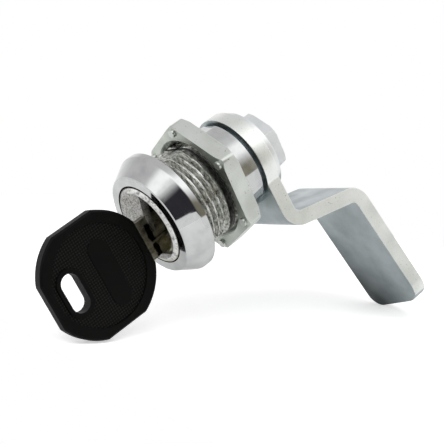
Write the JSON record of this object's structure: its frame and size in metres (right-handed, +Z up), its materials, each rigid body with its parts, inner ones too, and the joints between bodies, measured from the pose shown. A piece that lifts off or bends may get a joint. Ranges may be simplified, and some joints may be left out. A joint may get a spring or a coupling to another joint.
{
  "type": "cam lock with key",
  "caption": "Cabinet cylinder lock with a threaded barrel, hexagon nut, cranked cam and a key in the plug.",
  "frame": {"origin": "on the lock's axis, in the plane of the panel that the head's back face rests on", "axes": "+Y along the axis from the keyed face towards the cam, +Z up with the cam hanging down, +X to the right seen from the keyed face"},
  "size_m": [0.0284, 0.0795, 0.0689],
  "materials": {
    "chromed_zinc": "bright chrome plating on die-cast zinc",
    "zinc_plated_steel": "bright zinc plating on steel",
    "satin_zinc": "satin plating on die-cast zinc",
    "nickel_steel": "nickel-plated steel",
    "brass": "stamped brass",
    "spring_steel": "drawn spring wire",
    "rubber": "black rubber",
    "black_plastic": "fine-grained moulded plastic"
  },
  "bodies": {
    "housing": {"housing": "chromed_zinc"},
    "nut": {"hex_nut": "zinc_plated_steel"},
    "plug": {"plug": "satin_zinc", "plug_seal": "rubber", "stop_disc": "zinc_plated_steel", "cam": "zinc_plated_steel", "cam_washer": "zinc_plated_steel", "cam_screw": "zinc_plated_steel", "wafer_spring_1": "spring_steel", "wafer_spring_2": "spring_steel", "wafer_spring_3": "spring_steel", "wafer_spring_4": "spring_steel", "wafer_spring_5": "spring_steel"},
    "key": {"key_blade": "nickel_steel", "key_bow": "black_plastic"},
    "wafer_1": {"wafer_1": "brass"},
    "wafer_2": {"wafer_2": "brass"},
    "wafer_3": {"wafer_3": "brass"},
    "wafer_4": {"wafer_4": "brass"},
    "wafer_5": {"wafer_5": "brass"}
  },
  "joints": [
    {"name": "plug_turn", "type": "hinge", "parent": "housing", "child": "plug", "pos_m": [0, 0, 0], "axis": [0, 1, 0], "range_deg": [0, 90]},
    {"name": "key_slide", "type": "slide", "parent": "plug", "child": "key", "axis": [0, -1, 0], "range_m": [0, 0.03]},
    {"name": "nut_travel", "type": "slide", "parent": "housing", "child": "nut", "axis": [0, 1, 0], "range_m": [-0.0075, 0.001]},
    {"name": "wafer_1_slide", "type": "slide", "parent": "plug", "child": "wafer_1", "axis": [0, 0, -1], "range_m": [0, 0.0011], "deforming": ["wafer_spring_1"]},
    {"name": "wafer_2_slide", "type": "slide", "parent": "plug", "child": "wafer_2", "axis": [0, 0, -1], "range_m": [0, 0.0011], "deforming": ["wafer_spring_2"]},
    {"name": "wafer_3_slide", "type": "slide", "parent": "plug", "child": "wafer_3", "axis": [0, 0, -1], "range_m": [0, 0.0011], "deforming": ["wafer_spring_3"]},
    {"name": "wafer_4_slide", "type": "slide", "parent": "plug", "child": "wafer_4", "axis": [0, 0, -1], "range_m": [0, 0.0011], "deforming": ["wafer_spring_4"]},
    {"name": "wafer_5_slide", "type": "slide", "parent": "plug", "child": "wafer_5", "axis": [0, 0, -1], "range_m": [0, 0.0011], "deforming": ["wafer_spring_5"]}
  ],
  "couplings": [
    {"joint": "wafer_1_slide", "follows": "key_slide", "ratio": 0.036666},
    {"joint": "wafer_2_slide", "follows": "key_slide", "ratio": 0.036666},
    {"joint": "wafer_3_slide", "follows": "key_slide", "ratio": 0.036666},
    {"joint": "wafer_4_slide", "follows": "key_slide", "ratio": 0.036666},
    {"joint": "wafer_5_slide", "follows": "key_slide", "ratio": 0.036666}
  ]
}
